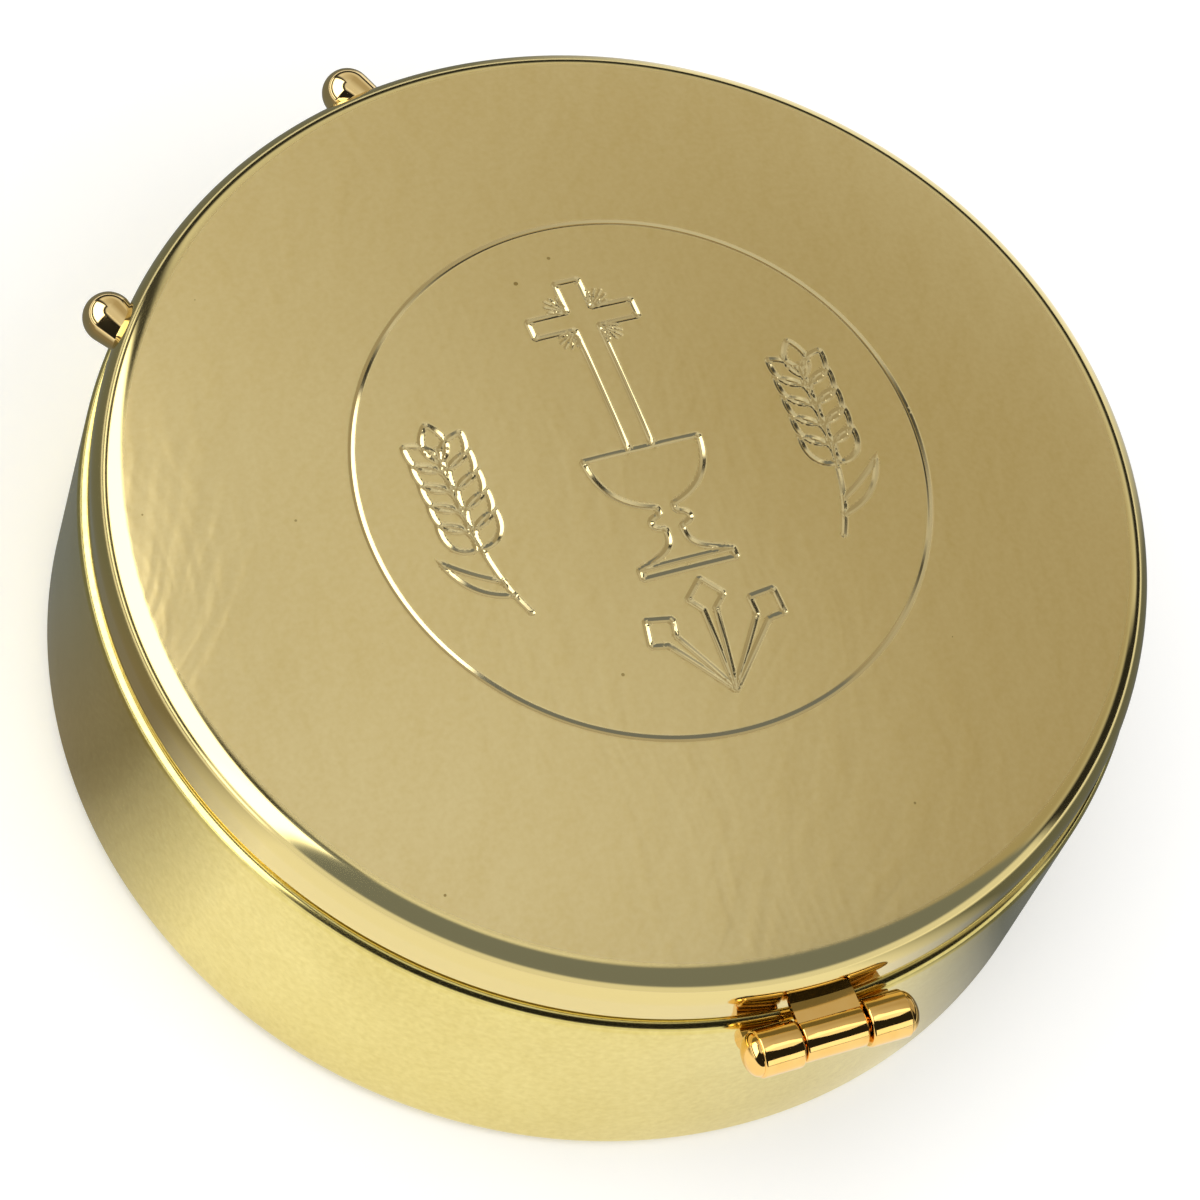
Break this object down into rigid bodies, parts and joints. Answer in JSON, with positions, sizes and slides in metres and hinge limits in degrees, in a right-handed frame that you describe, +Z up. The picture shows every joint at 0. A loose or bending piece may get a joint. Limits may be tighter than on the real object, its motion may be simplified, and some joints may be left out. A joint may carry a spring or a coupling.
{
  "type": "pyx",
  "caption": "Small round hinged box with a shallow domed lid over an inner collar, for carrying communion hosts; the lid swings back on a barrel hinge.",
  "frame": {"origin": "centre of the flat underside of the base", "axes": "+Z up through the crown of the lid, -Y towards the hinge, +X to the right as seen from the hinge"},
  "size_m": [0.054, 0.0577, 0.0215],
  "materials": {
    "satin_gilt": "satin gilding on spun brass, fine rubbing marks",
    "polished_gilt": "polished gilding on drawn brass",
    "bright_gilt": "mirror-polished gilding"
  },
  "bodies": {
    "base": {"base_cup": "polished_gilt", "base_collar": "polished_gilt", "base_bearer_left": "bright_gilt", "base_bearer_right": "bright_gilt", "hinge_knuckle_left": "bright_gilt", "hinge_knuckle_right": "bright_gilt", "hinge_pin": "bright_gilt", "hinge_cap_left": "bright_gilt", "hinge_cap_right": "bright_gilt"},
    "lid": {"lid_shell": "satin_gilt", "lid_bearer": "bright_gilt", "hinge_knuckle_centre": "bright_gilt", "lift_stud_left": "bright_gilt", "lift_stud_right": "bright_gilt"}
  },
  "joints": [
    {"name": "lid_hinge", "type": "hinge", "parent": "base", "child": "lid", "pos_m": [0, -0.02828, 0.01475], "axis": [1, 0, 0], "range_deg": [0, 180]}
  ]
}
